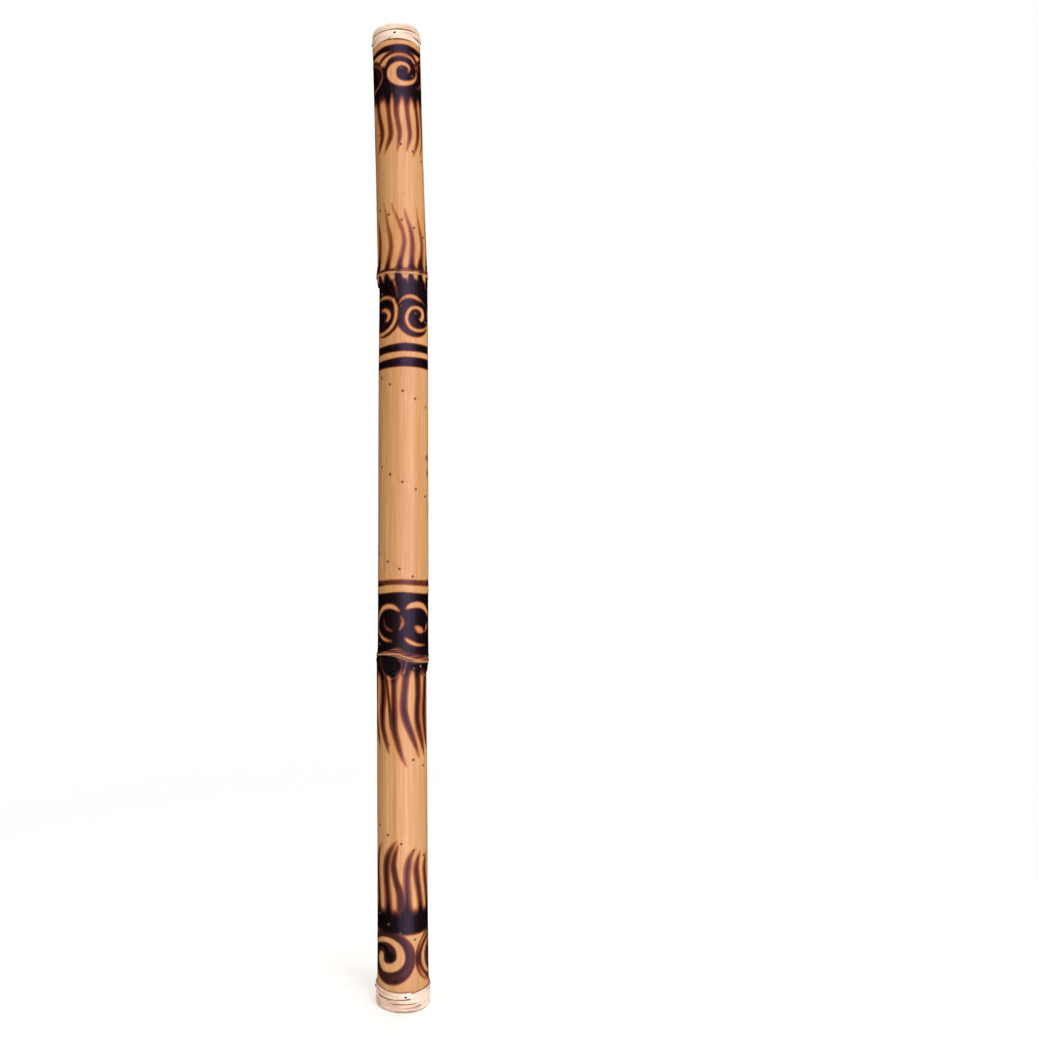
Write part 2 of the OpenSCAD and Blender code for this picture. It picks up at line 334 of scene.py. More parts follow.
def draw_top_volutes(burn):
    """The burnt ring under the top binding and the row of volutes below it."""
    burn.band(929, 958, soft=5, wander=0.8, seed=11)
    bowl = [(12.2, 951.6, 2), (13.6, 954.6, 3.2), (10.6, 958.4, 4), (3.5, 959.6, 4.4), (-2.5, 957, 7.2),
            (-6, 951, 11), (-4.8, 945, 9.4), (0, 941, 7.4), (7, 939.6, 5.8), (14, 940.8, 4.6),
            (19.5, 943.6, 3.6), (22.8, 948, 2.6), (23.3, 953, 1.4)]
    eye = [(4.5, 951, 11)]
    tail = [(8, 947.5, 6), (13, 946, 5), (18, 949, 5.6), (19.2, 955, 5.4), (16, 961, 5), (9, 964.3, 4.2),
            (2, 964.5, 3.8), (-5, 962.8, 3.2), (-11, 959, 2.4)]
    thin_arc = [(-16.5, 960.5, 1.6), (-11, 964.6, 2.6), (-4, 967.4, 3), (4, 968.4, 3), (12, 966.8, 2.8),
                (18, 962.8, 2.2), (21.5, 957.5, 1.4)]
    outer_arc = [(-24, 957, 3), (-16, 964.5, 3.4), (-6, 970.4, 3.6), (4, 972.2, 4), (13, 970.6, 4),
                 (21, 965.5, 3.6), (25.5, 958, 3.2)]
    for u, flip, lift in ((0, False, 0), (44, False, 0.5), (84, True, -0.5)):
        mirror = 4.5 if flip else None
        shapes = (outer_arc, thin_arc, bowl, tail, eye)
        place = [moved(from_front(shape), u, lift, mirror) for shape in shapes]
        burn.stroke([(4.5 + u, 951 + lift, 37)], 3, 0.95)
        burn.stroke(place[0], 2.4, 0.9)
        burn.rub(place[1], 2.0, 0.85, 0.4)
        burn.rub(place[2], 2.4, 0.98, 0.35)
        for line in place[3:]:
            burn.stroke(line, 2.2)
    burn.stroke([(-33, 951, 33)], 3, 0.95)
    burn.stroke(from_front([(29, 935, 8), (30, 950, 10), (30, 961, 6)]), 3, 0.88)
    burn.rub(from_front([(-40, 961.5, 2), (-31, 961, 2.4), (-24, 958.5, 2.4), (-19, 954.5, 2),
                         (-17, 948.5, 2), (-18.8, 942.5, 2.6), (-25, 936.5, 3), (-33, 933.5, 3),
                         (-42, 935, 2)]), 2, 0.72, 0.3)
    burn.rub(from_front([(-27, 955, 2), (-23, 951, 3), (-24, 945, 3)]), 3, 0.25)
    burn.rub(from_front([(22, 937.5, 1), (25.5, 936, 2), (30, 938, 2.4), (35, 942, 2)]), 2.4, 0.5, 0.3)
    burn.rub(from_front([(24.5, 944, 3), (25.5, 952, 3), (24, 960, 3)]), 4, 0.25)
    upper = ((-80, 978), (-50, 977), (-30, 974.5), (-15, 977.5), (0, 979.2), (10, 979.3), (28, 977),
             (50, 978))
    lower = ((-80, 972), (-50, 971), (-30, 970.2), (-15, 972), (0, 972.4), (10, 972.5), (28, 971.5),
             (50, 972))
    burn.ring(lower, upper, soft=1.8)


def draw_top_licks(burn):
    """Licks that hang from the band under the top volutes."""
    burn.band(925, 940, soft=10, amount=0.85, wander=1.2, seed=23)
    licks_round(burn, [
        [(-26, 931, 8), (-25, 923, 6.6), (-24.4, 915, 6), (-22.5, 905, 6), (-20, 895, 6.4), (-19.5, 887, 6),
         (-22.4, 878, 4.6), (-26, 870, 2)],
        [(-11, 931, 7), (-10.8, 923, 6), (-10.6, 915, 5), (-9.8, 905, 5), (-8.8, 895, 5.4),
         (-8.8, 887, 5.4), (-12, 879, 4), (-17, 869, 1.6)],
        [(-1.4, 931, 7), (-1.6, 923, 6.4), (-2.2, 915, 5.8), (-1.8, 906, 5.2), (0, 896, 5), (0.8, 888, 4.6),
         (-0.4, 880, 3.4), (-3, 869, 1.2)],
        [(9.4, 931, 7), (9.4, 924, 6), (9.3, 915, 5.2), (10.2, 905, 4.8), (11.6, 895, 4.8), (12, 887, 4.4),
         (10.6, 880, 3.4), (7.6, 871, 1.6)],
        [(19.6, 931, 9), (20, 924, 6.4), (20.8, 917, 5.6), (22.6, 908, 5.4), (23.8, 898, 6),
         (23.6, 888, 5.6), (20.8, 878, 4), (15, 866, 1.6)],
        [(30.5, 931, 9), (30, 924, 6), (30, 915, 5), (31.5, 905, 5), (33.4, 895, 5), (33.4, 886, 4.2),
         (30.4, 877, 3), (26.4, 868, 1.4)],
    ], seed=21, flare=8, reach=19)
    burn.rub(from_front([(-6.2, 930, 1.6), (-6.5, 920, 3), (-6.6, 910, 2.6), (-4.6, 901, 2.6)]), 2, 0.6,
             0.2)


def draw_shoulder_licks(burn):
    """Licks that rise from the upper node."""
    licks_round(burn, [
        [(-30, 752, 8), (-29, 757, 6.8), (-27.5, 770, 5.8), (-27, 780, 5.4), (-28, 790, 4.4),
         (-30, 802, 2)],
        [(-15.5, 752, 6), (-15, 757, 5.6), (-13, 766, 5), (-11.5, 775, 4.8), (-12.3, 785, 4.2),
         (-14.6, 795, 3.4), (-17, 807, 2.6), (-19.6, 819, 1.4)],
        [(-2.6, 752, 6), (-2.4, 757, 5.6), (-0.2, 766, 5), (2, 775, 4.8), (2.4, 783, 4.6), (0.2, 793, 4),
         (-3.6, 802, 3.2), (-8, 812, 2.2), (-10, 818, 1.2)],
        [(10, 752, 7), (10, 757, 6.4), (10.5, 766, 5.8), (11.3, 775, 5.8), (10.8, 785, 5), (8.6, 795, 3.8),
         (5.4, 804, 2.8), (3.8, 812, 1.8)],
        [(21, 752, 9), (21.4, 758, 8), (23, 766, 5.6), (24, 775, 5), (23, 785, 4.4), (20.6, 794, 3.4),
         (18.6, 805, 2.4), (17, 815, 1.2)],
        [(34, 752, 8), (34, 758, 7), (35.5, 767, 5.6), (36.5, 776, 5), (35, 786, 4), (32, 797, 2.6),
         (30, 808, 1.2)],
    ], seed=22, soft=4.4, amount=0.66, flare=1.5, reach=6)


def draw_upper_node(burn):
    """The dark collar under the upper node and the pair of spirals below it."""
    burn.band(712, 741, soft=5, wander=1.0, seed=31)
    for u, tall in ((-17, 746), (-4, 748.5), (9, 745), (20, 748.5), (33, 746), (46, 748), (58, 745),
                    (71, 748), (84, 746), (97, 748), (110, 745), (122, 747), (134, 746)):
        burn.stroke([(u, 736, 11), (u, tall - 1, 5.5)], 3)
    for u, low in ((-24, 741), (-10.5, 737), (3.5, 740), (14.5, 743), (27, 737), (40, 741), (52, 739),
                   (65, 742), (78, 739), (91, 741), (104, 740), (116, 742), (128, 739)):
        burn.rub([(u, 749, 4.6), (u + 0.5, low + 4, 3), (u + 1.5, low - 2, 1.5)], 2.6, 0.8)
    burn.rub([(-9, 738, 3), (-7.4, 730, 2.4), (-6.4, 723, 1.6)], 2.4, 0.65)
    right = {
        "disc": [(13, 703.5, 41)],
        "crown": [(-4.5, 717, 1.6), (-1.5, 721, 3), (4, 723.6, 4.2), (11, 723.6, 4.4), (18, 720.8, 3.6),
                  (25, 716.5, 2.4), (31, 711, 1.4)],
        "ring": [(16.5, 700.4, 2.4), (21, 701.2, 4.6), (23.2, 705.4, 5), (21.2, 710.6, 4.6),
                 (15, 713, 3.6), (8, 711.6, 3.8), (3.8, 705.5, 4.2), (3.4, 699, 4), (7, 692.7, 3.8),
                 (14, 689.8, 3.8), (22, 690.8, 3.4), (28.5, 693.8, 2.6), (33, 698, 1.6)],
        "heart": [(12, 704, 11)],
        "tail": [(15, 700, 5), (20, 696.6, 5), (27, 698.5, 6), (29.5, 705, 6.4), (28, 712, 5),
                 (22, 716.6, 4), (14, 718.4, 3.4), (5, 717, 3.4), (0, 712, 3.4)],
    }
    left = {
        "disc": [(-24, 703.5, 40)],
        "crown": [(-40, 719, 1.6), (-33, 722.5, 3), (-25, 724, 3.8), (-17, 723.4, 3.8), (-11, 721, 3.4)],
        "ring": [(-11, 720.5, 3), (-8.2, 714.5, 4), (-7.8, 706, 4), (-9.6, 698.4, 4),
                 (-14.5, 691.8, 4.2), (-22, 688, 4), (-30, 687.4, 4), (-38, 691, 3), (-42, 698, 2)],
        "heart": [(-27, 704, 11)],
        "tail": [(-20.5, 713, 4), (-14.6, 709.5, 4), (-13.2, 702, 4), (-17, 695.6, 4.4), (-25, 692.4, 4)],
    }
    comma = [(-27, 711.2, 2.4), (-21.6, 711.2, 4.4), (-17, 708.6, 5.2), (-15.8, 704.4, 5),
             (-17.8, 700.8, 4), (-20.6, 700, 2)]
    for du in (0, 80.4):
        for parts in (left, right):
            burn.stroke(moved(parts["disc"], du), 3, 0.93)
        for parts in (left, right):
            for part, amount in (("crown", 0.9), ("ring", 0.97)):
                burn.rub(moved(parts[part], du), 2.2, amount, 0.3)
            for part in ("heart", "tail"):
                burn.stroke(moved(parts[part], du), 2.2)
        burn.rub(moved(comma, du), 2, 0.9, 0.3)


def draw_middle_rings(burn):
    """The two dark rings under the spirals, and the pair of rings over the lower spirals."""
    burn.ring(((-80, 667.5), (-30, 666.4), (0, 668.6), (28, 668), (60, 668)),
              ((-80, 675), (-30, 673.6), (0, 676.6), (28, 675.4), (60, 675.5)), soft=2.0)
    burn.ring(((-80, 652.5), (-30, 651.6), (0, 653), (28, 652), (60, 652.5)),
              ((-80, 660), (-30, 659), (0, 662.4), (28, 661.8), (60, 661)), soft=2.0)
    burn.ring(((-80, 431), (-30, 429.5), (-12, 432), (0, 432.4), (28, 429.5), (60, 431)),
              ((-80, 435.4), (-30, 435), (-12, 437), (0, 437.4), (28, 435.4), (60, 436)), soft=3.2,
              amount=0.66)
    for u, strength in ((-40, 0.95), (43, 0.95), (85, 0.75), (-75, 0.8)):
        burn.stroke([(u - 16, 431.6, 3), (u, 431.2, 5), (u + 16, 431.6, 3)], 2.5, strength)
    burn.ring(((-80, 362), (0, 362)),
              ((-80, 423), (-30, 421.6), (-10, 424.2), (0, 424.6), (28, 421.6), (60, 423.5)), soft=2.0)


def draw_lower_spirals(burn):
    """Light hooks and caps left in the dark ground over the lower node."""
    hook = [
        ([(-4.5, 406, 3), (-10, 409.5, 5), (-16, 410, 5.2), (-22, 408, 5), (-27.5, 403.5, 4.4),
          (-31.5, 397, 3.4), (-32.5, 390, 2.4), (-30.5, 384, 3), (-25.5, 379, 3.8), (-19, 376, 3.6),
          (-12.5, 375, 2)], 0.97),
        ([(-21.5, 396, 1.4), (-20.6, 391, 2), (-17, 387.3, 2.8), (-12, 385.5, 2.2)], 0.75),
    ]
    cap = [
        ([(3.6, 408.4, 3), (8, 410.8, 6), (15, 411.6, 6.6), (22, 409.8, 6), (28, 405.6, 5),
          (32.5, 400.5, 3)], 0.97),
        ([(14, 388.5, 5), (17, 386.4, 7.5), (20, 385.2, 6), (22, 384, 3)], 0.85),
        ([(26.5, 384.5, 3), (28.5, 388, 4), (31, 391.5, 2.6)], 0.75),
        ([(2.5, 377.5, 3), (6, 374.6, 4.6), (12, 371.8, 4), (18, 370.6, 3), (25, 370.4, 1.6)], 0.95),
    ]
    sliver = [(-2.6, 400.5, 1.4), (-0.6, 396, 3), (-1, 391.5, 3.4), (-3.4, 386.8, 2)]
    for u, parts, flip in ((0, hook, False), (0, cap, False), (80.4, hook, False), (80.4, cap, True)):
        for points, amount in parts:
            line = moved(from_front(points), du=u, flip_at=17 if flip else None)
            burn.rub(line, 2.6, amount, 0.4)
    for u in (0, 37.5, 80.4, 118):
        burn.rub(moved(sliver, du=u), 2.0, 0.85, 0.3)


def draw_lower_node(burn, scar, pale, raised, sunk):
    """The sheath scar and the dark collar round the lower node, and the bud's scar on the front."""
    burn.band(345, 364, soft=4, wander=0.8, seed=51)
    upper = [(-44, 358.5), (-30, 360.5), (-15, 364.8), (-6, 367.6), (0, 364), (10, 360.8), (22, 359),
             (44, 357.5), (60, 360), (84, 365), (100, 360), (116.8, 358.5)]
    lower = [(-44, 357.5), (-30, 359.5), (-8, 361.8), (0, 359.8), (10, 356.3), (20, 353.6), (33, 352),
             (50, 353), (66, 356), (84, 360), (100, 357), (116.8, 357.5)]
    zone = [(u, (a + b) / 2, max(2.0, a - b + 1.5)) for (u, a), (_, b) in zip(upper, lower)]
    burn.rub(zone, 2.4, 0.42, 0)
    scar.stroke(zone, 2, fade=0)
    burn.rub([(u, b, 1.6) for u, b in lower], 1.4, 0.6, 0)
    pale.stroke([(u, b, 1.0) for u, b in lower], 1.0, 0.55, 0)
    pale.stroke([(-40, 357.8, 0.7), (-18, 360.5, 0.7), (-4, 358.6, 0.7), (6, 355.4, 0.6),
                 (18, 352.6, 0.6)], 0.9, 0.5, 0)
    raised.stroke([(u, b, 1.2) for u, b in lower], 1.4, 0.55, 0)
    raised.stroke([(u, a, 1.6) for u, a in upper], 2.0, 0.3, 0)
    sunk.stroke([(u, b - 2.3, 1.0) for u, b in lower], 1.6, 0.35, 0)
    rim = [(-25, 356.5, 1.2), (-24.6, 350, 1.2), (-22, 344, 1.2), (-17.5, 338.8, 1.2), (-12, 336.4, 1.4),
           (-6.5, 338, 1.2), (-2.6, 342.6, 1.2), (-1, 348.5, 1), (-1.4, 353.6, 0.8)]
    burn.stroke([(-20, 352, 7), (-12.5, 348, 17), (-6, 352, 7)], 2, fade=0)
    burn.rub(rim, 1.6, 0.6, 0)
    scar.stroke(rim, 1.4, 0.3, 0)
    raised.stroke(rim, 2.0, 0.7, 0)
    sunk.stroke([(-17, 352, 5), (-12.5, 348, 12), (-7, 352, 5)], 5, 1.3, 0)
    burn.rub([(3.8, 355, 0.8), (2.9, 349, 1.4), (1.8, 343, 2.4)], 1.6, 0.75, 0)
    pale.stroke([(19.5, 348.8, 1.8)], 1.2, 0.8, 0)
    pale.stroke([(28.5, 338.7, 1.8)], 1.0, 1.0, 0)
    for u, width in ((-14.6, 0.8), (-11, 1.0), (-8, 0.8), (-5.4, 0.7)):
        sunk.stroke([(u, 337, width), (u + 0.8, 318, width), (u + 0.6, 290, width * 0.6)], 1.2, 0.22)


def draw_node_licks(burn):
    """Licks that hang from the lower node."""
    burn.band(340, 352, soft=12, amount=0.9, wander=1.6, seed=62)
    licks_round(burn, [
        [(-24, 347, 8.6), (-22, 337, 8.4), (-21, 325, 8.4), (-21.6, 313, 8.4), (-22.8, 300, 8),
         (-22, 288, 7), (-19, 278, 5.6), (-16.4, 270, 4), (-14, 262, 2)],
        [(-8, 344, 7.4), (-8.6, 332, 6.8), (-8.6, 318, 7), (-8.6, 300, 8), (-8, 286, 7), (-4.8, 273, 5.6),
         (-1.6, 262, 4), (2, 253, 2.6), (5, 248.5, 1.4)],
        [(4, 350, 7), (4, 337, 7), (2.6, 322, 7), (2, 308, 7.8), (4, 297, 8), (8, 285, 6.8),
         (12, 275, 5), (16, 265, 3.2), (18.6, 257, 1.6)],
        [(16, 350, 9), (17.4, 337, 8), (18, 322, 7.8), (16.8, 307, 8), (16.8, 295, 7.8), (19.6, 283, 6.8),
         (23, 272, 5), (27, 259, 2)],
        [(30, 350, 9), (30, 336, 8), (28.8, 320, 8), (27.4, 303, 8), (28.4, 290, 7.4), (31, 276, 5.6),
         (35, 264, 2.2)],
    ], seed=61, soft=4.4, amount=0.8, flare=6, reach=16)
    burn.stroke(from_front([(-17.6, 341, 4), (-15.2, 326, 3), (-12.8, 306, 3), (-12, 291, 2.4),
                            (-10.8, 283, 1.2)]), 2, 0.85)
    burn.rub(from_front([(-12.3, 336, 1.6), (-11.8, 326, 2.6), (-11.4, 318, 1.8), (-10.8, 306, 0.9)]),
             1.8, 0.8, 0.2)
    burn.rub(from_front([(10, 346, 2), (11.2, 337, 4.2), (11, 322, 5.5), (9.8, 308, 6.2),
                         (10.4, 297, 4.4), (12.2, 287, 1.6)]), 3, 0.85, 0.2)


def draw_foot_licks(burn):
    """Licks that rise from the dark band over the bottom volutes."""
    burn.band(86, 101, soft=12, amount=0.95, wander=1.6, seed=72)
    licks_round(burn, [
        [(-29, 95, 9), (-29.5, 110, 8), (-31, 125, 8), (-32.5, 140, 7.4), (-31.6, 152, 6), (-28.5, 162, 4),
         (-25, 168, 1.8)],
        [(-15, 95, 10), (-15.2, 106, 9), (-16, 120, 8), (-17.6, 135, 8.4), (-17.6, 147, 8.4),
         (-14.8, 158, 7), (-10, 167, 4), (-6.5, 172.5, 2)],
        [(4, 97, 12), (4.6, 110, 9), (4.6, 122, 7.6), (4.4, 135, 7), (5.4, 147, 7.4), (8, 157, 5),
         (13.5, 165, 1.8)],
        [(20, 96, 9), (19.4, 108, 7), (17.8, 120, 6.6), (15.4, 135, 6.8), (14.6, 146, 6.4),
         (16.6, 154, 4.6), (20, 161, 1.6)],
        [(32, 96, 9), (31, 108, 7.6), (29.6, 120, 7), (27, 135, 6.6), (26.2, 146, 6), (28, 154, 4),
         (31, 160, 1.6)],
    ], seed=71, soft=4.4, amount=0.7, flare=5, reach=14)
    burn.stroke(from_front([(-1, 98, 9), (-1.8, 112, 8), (-3.2, 122, 7), (-7, 134, 6), (-9.2, 147, 5.6),
                            (-7.8, 158, 4.2), (-4.6, 168, 1.8)]), 4, 0.72, 0.7)
    burn.rub(from_front([(2.8, 96, 1.6), (2.4, 88, 2.2), (2.8, 83, 1.4)]), 2.4, 0.4)


def draw_foot_volutes(burn):
    """The dark band and the row of volutes over the bottom binding."""
    burn.band(78, 98, soft=4, wander=0.6, seed=81)
    bowl = [(-24.6, 56, 7.6), (-25.6, 50, 10), (-21, 45, 9.8), (-14, 44, 9), (-7, 46.5, 9), (-2.6, 52, 9),
            (-2.3, 59, 8.6), (-5, 66, 7.4), (-11, 70.8, 6.6), (-18, 72.3, 5.6), (-26, 71, 5),
            (-33, 67.5, 3.6), (-38, 62.5, 2)]
    eye = [(-14, 55.6, 12)]
    tail = [(-16, 60.5, 6.4), (-20.5, 64.6, 5.4), (-27, 65.4, 4.6), (-34, 62.6, 4)]
    glow = [(-8, 79, 1.6), (1, 75, 2.6), (6, 68.6, 3.4), (8.8, 59, 3.6), (8.2, 49, 3.4), (4, 41, 2.8),
            (-3, 36, 2.4), (-12, 34, 1.8)]
    for u, flip in ((0, False), (107, True)):
        def place(points):
            return moved(from_front(points), du=u, flip_at=-14.5 if flip else None)
        burn.stroke(moved([(-15, 54, 55)], du=u), 3.6, 0.8)
        burn.rub(place(glow), 5, 0.25, 0.2)
        burn.rub(place(bowl), 2.4, 0.98, 0.3)
        burn.stroke(place(tail), 2.4)
        burn.stroke(place(eye), 2.4)
    for u in (0, 51):
        burn.stroke(moved([(41, 52.5, 57)], du=u), 3.2, 0.7)
        for radius, first, last, width in ((25.6, 16, 76, 2.6), (25.6, -70, -18, 2.8),
                                           (18.6, -78, 68, 5.2)):
            line = arc(41, 54, radius, first, last, width)
            burn.rub(moved(from_front(line), du=u), 2.4, 0.92, 0.3)
        burn.stroke(moved([(37, 53, 12)], du=u), 6, 0.85, 0)
    burn.stroke([(14.2, 47, 1.6), (15, 52.5, 4), (14.2, 58, 1.6)], 2.4, 0.85)


def draw_blemishes(stain_and_shade, rng):
    """Brown marks and faint scratches on the plain internodes."""
    for u, z, w, amount in ((31, 561, 6.5, 1.0), (27, 561.5, 3, 0.5), (32, 545, 6, 0.95), (33, 506, 4, 0.6),
                            (2.5, 828, 3, 0.25), (-17, 792, 2, 0.3)):
        stain_and_shade.stroke([(u, z, w), (u + 0.6, z - 0.8, w * 0.8)], 2.6, amount, 0)
    stain_and_shade.stroke([(-22.5, 634, 1.2), (-22.2, 625, 1.4)], 1.4, 0.35, 0)
    stain_and_shade.stroke([(-20.8, 177, 1.2), (-21.4, 169, 1.0), (-21.6, 162, 1.0)], 1.2, 0.3, 0)
    for _ in range(70):
        u, z = rng.uniform(40, ROUND - 40), rng.uniform(60, 960)
        stain_and_shade.stroke([(u, z, rng.uniform(0.8, 3))], 2.4, rng.uniform(0.15, 0.55), 0)
    for _ in range(60):
        u, z, long = rng.uniform(-80, 80), rng.uniform(110, 960), rng.uniform(4, 26)
        stain_and_shade.stroke([(u, z, 0.7), (u + rng.uniform(-0.4, 0.4), z - long, 0.7)], 1.1,
                     rng.uniform(0.08, 0.22), 0)


def pin_places(shape):
    """Where each pin comes out of the culm, on the sheet."""
    places = []
    for name in sorted(frame["nodes"]):
        if not name.startswith("rain_pins"):
            continue
        for part in loose_parts(name):
            far = np.hypot(part[:, 0], part[:, 1])
            places.append(shape.sheet_point(part[far > far.max() - 1.2 * MM].mean(0)))
    return places


def culm_heights(shape):
    """Heights of the culm's rows in mm, closer together at the nodes and the ends."""
    top = shape.top / MM
    marks = [(0, 0.45), (4, 1.0), (334, 0.5), (370, 1.0), (738, 0.5), (756, 1.0), (top - 8, 0.5),
             (top, None)]
    rows = []
    for (start, step), (end, _) in zip(marks[:-1], marks[1:]):
        rows.extend(np.linspace(start, end, max(2, round((end - start) / step)), endpoint=False))
    return np.array(rows + [top])


def draw_sheets(shape, z):
    """All that is drawn on the culm: burn, scar tissue, pale lines with a painted highlight on the upper
    node's ridge, stains with painted shade under both bindings, and its fine relief in mm.
    """
    sheets = {n: Sheet(z) for n in ("burn", "scar", "pale", "stain_and_shade", "raised", "sunk")}
    burn = sheets["burn"]
    draw_top_licks(burn)
    draw_top_volutes(burn)
    draw_shoulder_licks(burn)
    draw_upper_node(burn)
    draw_middle_rings(burn)
    draw_lower_spirals(burn)
    draw_foot_licks(burn)
    draw_foot_volutes(burn)
    draw_node_licks(burn)
    draw_lower_node(burn, *(sheets[n] for n in ("scar", "pale", "raised", "sunk")))
    burn.band(-5, 20.5, soft=2, erase=True, seed=91)
    # Painted shade: the culm is darkened brown under both bindings, so the gaps between the cane strips
    # look shaded.
    sheets["stain_and_shade"].band(0, 18.5, soft=1.5, amount=0.9, seed=96)
    sheets["stain_and_shade"].band(983.5, 1004, soft=1.5, amount=0.8, seed=97)
    burn.band(749.0, 752.4, soft=1.2, amount=0.55, wander=0.4, seed=92)
    # Painted highlight: a faint pale ring along the top of the upper node's raised ridge.
    sheets["pale"].band(747.2, 748.6, soft=0.9, amount=0.35, wander=0.5, seed=93)
    burn.band(746.8, 749.0, soft=1.0, amount=0.5, wander=0.5, seed=93, erase=True)
    sheets["scar"].band(745.5, 753.5, soft=2.5, amount=0.7, wander=0.8, seed=94)
    sheets["raised"].band(747.0, 748.8, soft=1.2, amount=0.4, wander=0.5, seed=93)
    sheets["sunk"].band(744.0, 745.6, soft=1.6, amount=0.25, wander=0.5, seed=95)
    draw_blemishes(sheets["stain_and_shade"], random.Random(7))
    for u, height in pin_places(shape):
        sheets["sunk"].stroke([(u, height, 2.6)], 1.2, 0.28, 0)
        sheets["stain_and_shade"].stroke([(u, height, 2.9)], 1.5, 0.5, 0)
    return sheets


# ---------------------------------------------------------------- node material helpers

class Look:
    """A Principled material and short ways to wire it."""

    def __init__(self, name, **constants):
        self.material = bpy.data.materials.new(name)
        self.material.use_nodes = True
        self.tree = self.material.node_tree
        self.shader = self.tree.nodes["Principled BSDF"]
        for socket, value in constants.items():
            self.shader.inputs[socket.replace("_", " ")].default_value = value
        self.place = self.node("ShaderNodeTexCoord").outputs["Object"]

    def node(self, kind, **props):
        made = self.tree.nodes.new(kind)
        for key, value in props.items():
            setattr(made, key, value)
        return made

    def link(self, source, target):
        if hasattr(source, "is_output"):
            self.tree.links.new(source, target)
        else:
            target.default_value = source

    def attribute(self, name):
        return self.node("ShaderNodeAttribute", attribute_name=name).outputs["Fac"]

    def texture(self, kind, stretch, **values):
        """A texture whose features are stretched along the axes whose factor is small."""
        mapping = self.node("ShaderNodeMapping")
        mapping.inputs["Scale"].default_value = stretch
        self.link(self.place, mapping.inputs["Vector"])
        made = self.node(kind)
        self.link(mapping.outputs["Vector"], made.inputs["Vector"])
        for socket, value in values.items():
            made.inputs[socket].default_value = value
        return made.outputs

    def noise(self, scale, stretch=(1, 1, 1), detail=4.0, rough=0.55, warp=0.0):
        return self.texture("ShaderNodeTexNoise", stretch, Scale=scale, Detail=detail, Roughness=rough,
                            Distortion=warp)["Fac"]

    def cells(self, scale, stretch):
        return self.texture("ShaderNodeTexVoronoi", stretch, Scale=scale)["Distance"]

    def math(self, operation, a, b=0.0, clamp=False):
        made = self.node("ShaderNodeMath", operation=operation, use_clamp=clamp)
        self.link(a, made.inputs[0])
        self.link(b, made.inputs[1])
        return made.outputs[0]

    def swayed(self, base, value, share):
        """A value made larger or smaller by a share of how far another lies from one half."""
        return self.math("ADD", base, self.math("MULTIPLY", self.math("SUBTRACT", value, 0.5), share))

    def spread(self, value, low, high, to_low=0.0, to_high=1.0):
        """Maps low..high to to_low..to_high, smoothly and clamped."""
        made = self.node("ShaderNodeMapRange", interpolation_type="SMOOTHSTEP")
        for index, item in enumerate((value, low, high, to_low, to_high)):
            self.link(item, made.inputs[index])
        return made.outputs["Result"]

    def ramp(self, value, *stops):
        """Colours in sRGB 0..255 at positions 0..1."""
        made = self.node("ShaderNodeValToRGB")
        elements = made.color_ramp.elements
        while len(elements) < len(stops):
            elements.new(0.5)
        for element, (position, rgb) in zip(elements, stops):
            element.position = position
            element.color = paint(*rgb)
        self.link(value, made.inputs["Fac"])
        return made.outputs["Color"]

    def mix(self, share, a, b):
        made = self.node("ShaderNodeMix", data_type="RGBA", clamp_factor=True)
        self.link(share, made.inputs["Factor"])
        self.link(a, made.inputs[6])
        self.link(b, made.inputs[7])
        return made.outputs[2]

    def tinted(self, colour, rgb, value, low, high, to_low, to_high):
        """A colour washed over with another, as strongly as a value spread to to_low..to_high."""
        return self.mix(self.spread(value, low, high, to_low, to_high), colour, paint(*rgb))

    def bump(self, height, depth, below=None):
        """Bump of a 0..1 height over depth in metres, on top of another bump."""
        made = self.node("ShaderNodeBump")
        made.inputs["Strength"].default_value = 1.0
        made.inputs["Distance"].default_value = depth
        self.link(height, made.inputs["Height"])
        if below is not None:
            self.link(below, made.inputs["Normal"])
        return made.outputs["Normal"]

    def done(self, colour, roughness, normal):
        self.link(colour, self.shader.inputs["Base Color"])
        self.link(roughness, self.shader.inputs["Roughness"])
        self.link(normal, self.shader.inputs["Normal"])
        return self.material


def paint(red, green, blue):
    """An sRGB colour of 0..255 as linear RGBA."""
    def linear(c):
        c /= 255
        return c / 12.92 if c <= 0.04045 else ((c + 0.055) / 1.055) ** 2.4
    return (linear(red), linear(green), linear(blue), 1.0)


